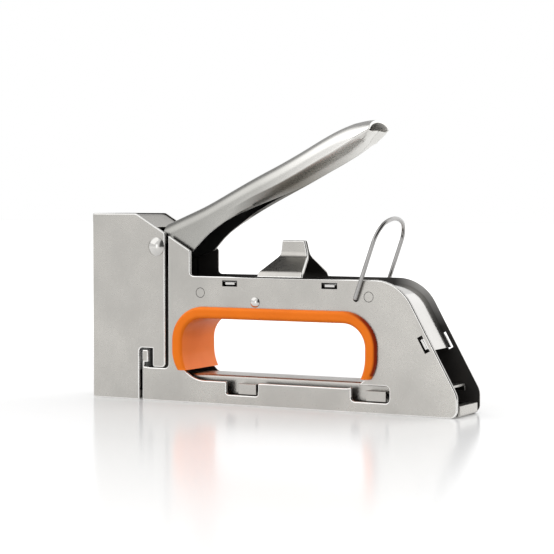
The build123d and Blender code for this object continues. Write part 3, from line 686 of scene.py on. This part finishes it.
# Lever arms: the lever's two flat cheeks, bored for the pivot, that reach forward under the
# plunger's hooks. They are cut from the same sheet.
lug_radius = 0.0056
arm_reach = 0.0244
arm_tip_radius = 0.0024
bore_radius = 0.00255
arm_inside = 0.0090
arm_thickness = 0.0010
arm_edge = 0.00015
lean_in = math.acos((lug_radius - arm_tip_radius) / arm_reach)
tip = lever_pivot - Vector((arm_reach, 0, 0))
tangent = Vector((-math.cos(lean_in), 0, math.sin(lean_in)))
arms = bmesh.new()
lug_start = arms.verts.new(lever_pivot + tangent * lug_radius)
lug_arc = bmesh.ops.spin(
    arms, geom=[lug_start], cent=lever_pivot, axis=(0, 1, 0), angle=2 * (math.pi - lean_in), steps=24,
)
tip_start = arms.verts.new(tip + Vector((tangent.x, 0, -tangent.z)) * arm_tip_radius)
tip_arc = bmesh.ops.spin(
    arms, geom=[tip_start], cent=tip, axis=(0, 1, 0), angle=2 * lean_in, steps=14,
)
arms.edges.new((of_kind(lug_arc["geom_last"], BMVert)[0], tip_start))
arms.edges.new((of_kind(tip_arc["geom_last"], BMVert)[0], lug_start))
bore = bmesh.ops.create_circle(arms, segments=32, radius=bore_radius)["verts"]
bmesh.ops.rotate(arms, verts=bore, cent=(0, 0, 0), matrix=onto_side)
bmesh.ops.translate(arms, verts=bore, vec=lever_pivot)
bmesh.ops.triangle_fill(arms, edges=arms.edges[:], use_beauty=True, use_dissolve=True)
bmesh.ops.translate(arms, verts=arms.verts, vec=(0, -arm_inside, 0))
thick = bmesh.ops.extrude_face_region(arms, geom=arms.faces[:])
bmesh.ops.translate(arms, verts=of_kind(thick["geom"], BMVert), vec=(0, -arm_thickness, 0))
mirror_half(arms)
arms_piece = set_in_place(arms, "lever_arms", "lever", (inner_steel,))
round_edges(arms_piece, arm_edge)

# Pivot bush: plain turned tube on the pivot rivet that keeps the lever's cheeks apart.
# It slips over the rivet when the head is put together.
plain_piece("pivot_bush", "pivot_bush_tube", (inner_steel,), edge=0.0001)

# Lever pivot rivet: turned steel pin through casing and lever, its ends snapped to low domes
# that stand a hair off the sheet at their rims.
body_half = 0.013
pivot_radius = 0.0025
dome_radius = 0.0041
dome_height = 0.0019
rim_gap = 0.00025
rim_lean = 0.6
pivot_angle = 40
polished_steel = cloudy_material(
    "polished_steel", light=(0.63, 0.62, 0.60), dark=(0.57, 0.56, 0.54), clouds=40, grain=4000,
    smooth=0.06, rough=0.14, metallic=1.0, grain_depth=0.000005,
)


def spin_shape(shape, centre):
    """Spin a half outline round, mirror it to the other side and carry it to its place."""
    weld = 1e-7
    bmesh.ops.spin(
        shape, geom=shape.verts[:] + shape.edges[:], cent=(0, 0, 0), axis=(0, 1, 0),
        angle=2 * math.pi, steps=48, use_merge=True,
    )
    bmesh.ops.remove_doubles(shape, verts=shape.verts, dist=weld)
    mirror_half(shape, weld)
    bmesh.ops.translate(shape, verts=shape.verts, vec=centre)


def turned_pin(shape, centre, shaft_radius, head_radius, head_height, lift):
    """Spin a domed rivet about the line across the body through centre; both ends are alike."""
    ball = (head_radius ** 2 + head_height ** 2) / (2 * head_height)
    crown = shape.verts.new((0, -body_half - head_height - lift, 0))
    dome = bmesh.ops.spin(
        shape, geom=[crown], cent=(0, ball - body_half - head_height - lift, 0), axis=(0, 0, 1),
        angle=math.asin(head_radius / ball), steps=10,
    )
    rim = of_kind(dome["geom_last"], BMVert)[0]
    under = shape.verts.new((head_radius - lift, -body_half, 0))
    neck = shape.verts.new((shaft_radius, -body_half, 0))
    waist = shape.verts.new((shaft_radius, 0, 0))
    shape.edges.new((rim, under))
    shape.edges.new((under, neck))
    shape.edges.new((neck, waist))
    spin_shape(shape, centre)


pivot_pin = bmesh.new()
turned_pin(pivot_pin, lever_pivot, pivot_radius, dome_radius, dome_height - rim_gap, rim_gap)
# The pin's rim and side faces carry painted shade: a dark line round each dome.
for face in pivot_pin.faces:
    if abs(face.normal.y) < rim_lean:
        face.material_index = shade_slot
pivot_finishes = (polished_steel, painted_inside_shade)
set_in_place(
    pivot_pin, "pivot_rivet", "lever_pivot_rivet", pivot_finishes, pivot_angle,
)

# Body rivets: steel pins through both plates. The front and rear ones are ground flush and
# show as a ring; the middle one keeps a low dome.
flush_radius = 0.0022
flush_bevel = 0.0002
flush_sink = 0.00002
ring_lean = 0.75
rivet_angle = 24
rivets = bmesh.new()


def join_pin(pin):
    """Add a finished pin to the body rivets."""
    mesh = bpy.data.meshes.new("rivet")
    pin.to_mesh(mesh)
    pin.free()
    rivets.from_mesh(mesh)
    bpy.data.meshes.remove(mesh)


for rivet_x, rivet_z in ((-0.0320, 0.0487), (0.0492, 0.0488)):
    flush_pin = bmesh.new()
    face_middle = flush_pin.verts.new((0, flush_sink - body_half, 0))
    face_rim = flush_pin.verts.new((flush_radius - flush_bevel, flush_sink - body_half, 0))
    shoulder = flush_pin.verts.new((flush_radius, flush_bevel - body_half, 0))
    waist = flush_pin.verts.new((flush_radius, 0, 0))
    flush_pin.edges.new((face_middle, face_rim))
    flush_pin.edges.new((face_rim, shoulder))
    flush_pin.edges.new((shoulder, waist))
    spin_shape(flush_pin, (rivet_x, 0, rivet_z))
    join_pin(flush_pin)
domed_pin = bmesh.new()
turned_pin(
    domed_pin, (-0.0047, 0, 0.0451), shaft_radius=0.0019, head_radius=0.0022, head_height=0.0007,
    lift=0.0002,
)
for face in domed_pin.faces:
    face.material_index = third_slot
join_pin(domed_pin)
rivets.normal_update()
# The rivets' side and chamfer faces carry painted shade: a dark ring round each head.
for face in rivets.faces:
    if abs(face.normal.y) < ring_lean:
        face.material_index = shade_slot
rivet_finishes = (plated_steel, painted_inside_shade, polished_steel)
set_in_place(rivets, "plate_rivets", "body_rivets", rivet_finishes, rivet_angle)

# Rivet spacers: plain steel tubes on the body rivets that keep the plates apart.
# They are cut to length and left bare.
plain_piece("rivet_spacers", "spacer_tubes", (inner_steel,), edge=0.0001)

# Wire bail: one bright drawn wire whose turned-in ends snap into the plates' holes, bent to an
# arch that drops over the squeezed handle. Its feet, in the holes, carry painted shade.
bail_pivot = Vector((0.0434, 0.0, 0.0475))
bail_wire = 0.0009
bail_stub = 0.0106
bail_side = 0.0143
bail_bend = 0.00125
bail_leg = 0.02506
bail_corner = 0.010
bail_turn = math.radians(68)
bail_lean = Matrix.Rotation(math.radians(19.4), 3, "Y")
bail_angle = 50
shaded_foot_top = 0.0002
arch_radius = (bail_side - bail_corner * (1 - math.cos(bail_turn))) / math.cos(bail_turn)
arch_top = bail_leg + bail_corner * math.sin(bail_turn) + arch_radius * (1 - math.sin(bail_turn))
bail = bmesh.new()
wire_end = bmesh.ops.create_circle(bail, cap_ends=True, segments=16, radius=bail_wire)["verts"]
bmesh.ops.rotate(bail, verts=wire_end, cent=(0, 0, 0), matrix=onto_side)
bmesh.ops.translate(bail, verts=wire_end, vec=(0, -bail_stub, 0))


def run_wire(section, way):
    """Carry the wire's last section straight on."""
    drawn = bmesh.ops.extrude_face_region(bail, geom=section)["geom"]
    bmesh.ops.translate(bail, verts=of_kind(drawn, BMVert), vec=way)
    return of_kind(drawn, BMFace)


def bend_wire(section, centre, angle, steps):
    """Bend the wire's last section round a centre in the bail's plane."""
    bent = bmesh.ops.spin(bail, geom=section, cent=centre, axis=(1, 0, 0), angle=angle, steps=steps)
    return of_kind(bent["geom_last"], BMFace)


section = run_wire(bail.faces[:], (0, bail_bend - bail_side + bail_stub, 0))
section = bend_wire(section, (0, bail_bend - bail_side, bail_bend), -math.pi / 2, 8)
section = run_wire(section, (0, 0, bail_leg - bail_bend))
section = bend_wire(section, (0, bail_corner - bail_side, bail_leg), -bail_turn, 14)
section = bend_wire(section, (0, 0, arch_top - arch_radius), bail_turn - math.pi / 2, 6)
bmesh.ops.delete(bail, geom=section, context="FACES_ONLY")
mirror_half(bail)
for face in bail.faces:
    if face.calc_center_median().z < shaded_foot_top:
        # Faces of the feet take the painted shade.
        face.material_index = shade_slot
bmesh.ops.rotate(bail, verts=bail.verts, cent=(0, 0, 0), matrix=bail_lean)
bmesh.ops.translate(bail, verts=bail.verts, vec=bail_pivot)
set_in_place(bail, "bail_wire", "wire_bail", (bright_wire, painted_inside_shade), bail_angle)

# Studio floor and surroundings: a white sweep under white surroundings, whose glow for the camera
# fades near the tool: painted shade added to its real shadow. It shows a weak, soft reflection of the
# tool.
floor_reach = 6.0
sweep_start, sweep_end = 0.12, 0.6
near_glow, far_glow, mirrored_glow = 0.03, 0.4, 0.4
floor_mesh = bpy.data.meshes.new("floor")
floor_shape = bmesh.new()
bmesh.ops.create_grid(floor_shape, x_segments=1, y_segments=1, size=floor_reach)
floor_shape.to_mesh(floor_mesh)
floor_shape.free()
floor = bpy.data.objects.new("floor", floor_mesh)
bpy.context.scene.collection.objects.link(floor)
floor_finish = bpy.data.materials.new("floor_finish")
floor_finish.use_nodes = True
floor_tree = floor_finish.node_tree
floor_shader = floor_tree.nodes["Principled BSDF"]
floor_shader.inputs["Roughness"].default_value = 0.17
floor_shader.inputs["Specular IOR Level"].default_value = 0.25
floor_shader.inputs["Emission Color"].default_value = (1, 1, 1, 1)
floor_rays = floor_tree.nodes.new("ShaderNodeLightPath").outputs
mirrored_ray = math_value(
    floor_tree, "MAXIMUM", floor_rays["Is Glossy Ray"], floor_rays["Is Transmission Ray"],
)
bounced_ray = math_value(floor_tree, "MAXIMUM", floor_rays["Is Diffuse Ray"], mirrored_ray)
floor_tint = floor_tree.nodes.new("ShaderNodeMix")
floor_tint.data_type = "RGBA"
floor_tint.inputs["A"].default_value = (0.80, 0.80, 0.80, 1)
floor_tint.inputs["B"].default_value = (0.5, 0.5, 0.5, 1)
floor_tree.links.new(bounced_ray, floor_tint.inputs["Factor"])
floor_tree.links.new(floor_tint.outputs["Result"], floor_shader.inputs["Base Color"])
floor_place = floor_tree.nodes.new("ShaderNodeTexCoord")
from_tool = floor_tree.nodes.new("ShaderNodeVectorMath")
from_tool.operation = "LENGTH"
floor_tree.links.new(floor_place.outputs["Object"], from_tool.inputs[0])
# Painted shade: the floor's glow for camera rays is weakest near the tool.
sweep_glow = map_range(floor_tree, from_tool.outputs["Value"], sweep_start, sweep_end)
sweep_glow.inputs["To Min"].default_value = near_glow
sweep_glow.inputs["To Max"].default_value = far_glow
seen_glow = math_value(
    floor_tree, "MULTIPLY", floor_rays["Is Camera Ray"], sweep_glow.outputs["Result"],
)
floor_glow = math_value(floor_tree, "MULTIPLY_ADD", mirrored_ray, mirrored_glow, seen_glow)
floor_tree.links.new(floor_glow, floor_shader.inputs["Emission Strength"])
floor_mesh.materials.append(floor_finish)
world = bpy.data.worlds.new("studio")
bpy.context.scene.world = world
world.use_nodes = True
backing = world.node_tree.nodes["Background"]
backing.inputs["Color"].default_value = (1, 1, 1, 1)
world_rays = world.node_tree.nodes.new("ShaderNodeLightPath").outputs
world_level = map_range(world.node_tree, world_rays["Is Diffuse Ray"], 0.0, 1.0)
world_level.inputs["To Min"].default_value = 1.0
world_level.inputs["To Max"].default_value = 1.15
world.node_tree.links.new(world_level.outputs["Result"], backing.inputs["Strength"])

# Grey cards: two curved cards out of the picture, beyond the tool's left rear and off its right
# front. Only the metal mirrors them, and they fade into the white at their edges.
card_radius = 1.4


def grey_card(name, edges, fade_width, dark):
    """Part of a sphere inside some flat cuts, glowing white at the cuts and dark further in."""
    mesh = bpy.data.meshes.new(name)
    shape = bmesh.new()
    bmesh.ops.create_uvsphere(shape, u_segments=48, v_segments=24, radius=card_radius)
    for way, start in edges:
        bmesh.ops.bisect_plane(
            shape, geom=shape.verts[:] + shape.edges[:] + shape.faces[:],
            plane_co=way * start * card_radius, plane_no=way, clear_inner=True,
        )
    shape.to_mesh(mesh)
    shape.free()
    card = bpy.data.objects.new(name, mesh)
    bpy.context.scene.collection.objects.link(card)
    card.visible_camera = False
    card.visible_diffuse = False
    card.visible_transmission = False
    card.visible_shadow = False
    finish = bpy.data.materials.new(name + "_finish")
    finish.use_nodes = True
    tree = finish.node_tree
    shader = tree.nodes["Principled BSDF"]
    shader.inputs["Base Color"].default_value = (0.02, 0.02, 0.02, 1)
    shader.inputs["Specular IOR Level"].default_value = 0.0
    shader.inputs["Emission Color"].default_value = (1, 1, 1, 1)
    place = tree.nodes.new("ShaderNodeTexCoord")
    depth = None
    for way, start in edges:
        across = tree.nodes.new("ShaderNodeVectorMath")
        across.operation = "DOT_PRODUCT"
        across.inputs[1].default_value = way / (card_radius * fade_width)
        tree.links.new(place.outputs["Object"], across.inputs[0])
        inward = math_value(tree, "SUBTRACT", across.outputs["Value"], start / fade_width)
        depth = inward if depth is None else math_value(tree, "MINIMUM", depth, inward)
    fade = map_range(tree, depth, 0.0, 1.0)
    fade.interpolation_type = "SMOOTHSTEP"
    fade.inputs["To Min"].default_value = 1.0
    fade.inputs["To Max"].default_value = dark
    tree.links.new(fade.outputs["Result"], shader.inputs["Emission Strength"])
    mesh.materials.append(finish)


left_edges = (
    (Vector((0, 1, 0)), -0.25), (Vector((-0.92, -0.39, 0)), -0.18), (Vector((0, 0, 1)), 0.12),
)
right_edges = ((Vector((1, 0, 0)), 0.12), (Vector((0, -1, 0)), -0.5))
grey_card("left_card", left_edges, fade_width=0.28, dark=0.38)
grey_card("right_card", right_edges, fade_width=0.25, dark=0.08)


# Lamps: one big soft box over the left front of the tool, which rounded edges and the lever's
# shoulder mirror as white lines, smaller ones behind its right, and a front fill.
def soft_lamp(name, place, aim, width, depth, power, mirrored=True):
    """Oblong area lamp pointed at a spot; the metal mirrors it or not."""
    lamp = bpy.data.lights.new(name, "AREA")
    lamp.shape = "RECTANGLE"
    lamp.size = width
    lamp.size_y = depth
    lamp.energy = power
    holder = bpy.data.objects.new(name, lamp)
    holder.location = place
    holder.visible_glossy = mirrored
    holder.rotation_euler = (Vector(aim) - Vector(place)).to_track_quat("-Z", "Y").to_euler()
    bpy.context.scene.collection.objects.link(holder)


soft_lamp("overhead", (-0.60, -0.38, 0.70), aim=(0, 0, 0.05), width=1.1, depth=0.9, power=1.8)
soft_lamp("behind", (0.40, 0.90, 0.42), aim=(0.03, 0, 0.05), width=0.8, depth=0.8, power=0.8)
soft_lamp(
    "back_fill", (0.60, 0.85, 0.30), aim=(-0.03, 0, 0.03), width=0.8, depth=0.8, power=4.0,
    mirrored=False,
)
soft_lamp("front", (-0.18, -1.18, 0.12), aim=(0.03, 0, 0.05), width=0.25, depth=0.6, power=0.6)

# Camera: a long lens at the photograph's distance and angle, a little above the tool's middle.
# Its picture is shown plainly, with no film curve.
camera_aim = Vector((-0.00088, 0, 0.05567))
camera_data = bpy.data.cameras.new("camera")
camera_data.sensor_width = 36.0
camera_data.lens = 114.43
camera = bpy.data.objects.new("camera", camera_data)
camera.location = (0.3596, -0.6766, 0.0880)
camera.rotation_euler = (camera_aim - camera.location).to_track_quat("-Z", "Y").to_euler()
bpy.context.scene.collection.objects.link(camera)
bpy.context.scene.camera = camera
bpy.context.scene.view_settings.view_transform = "Standard"
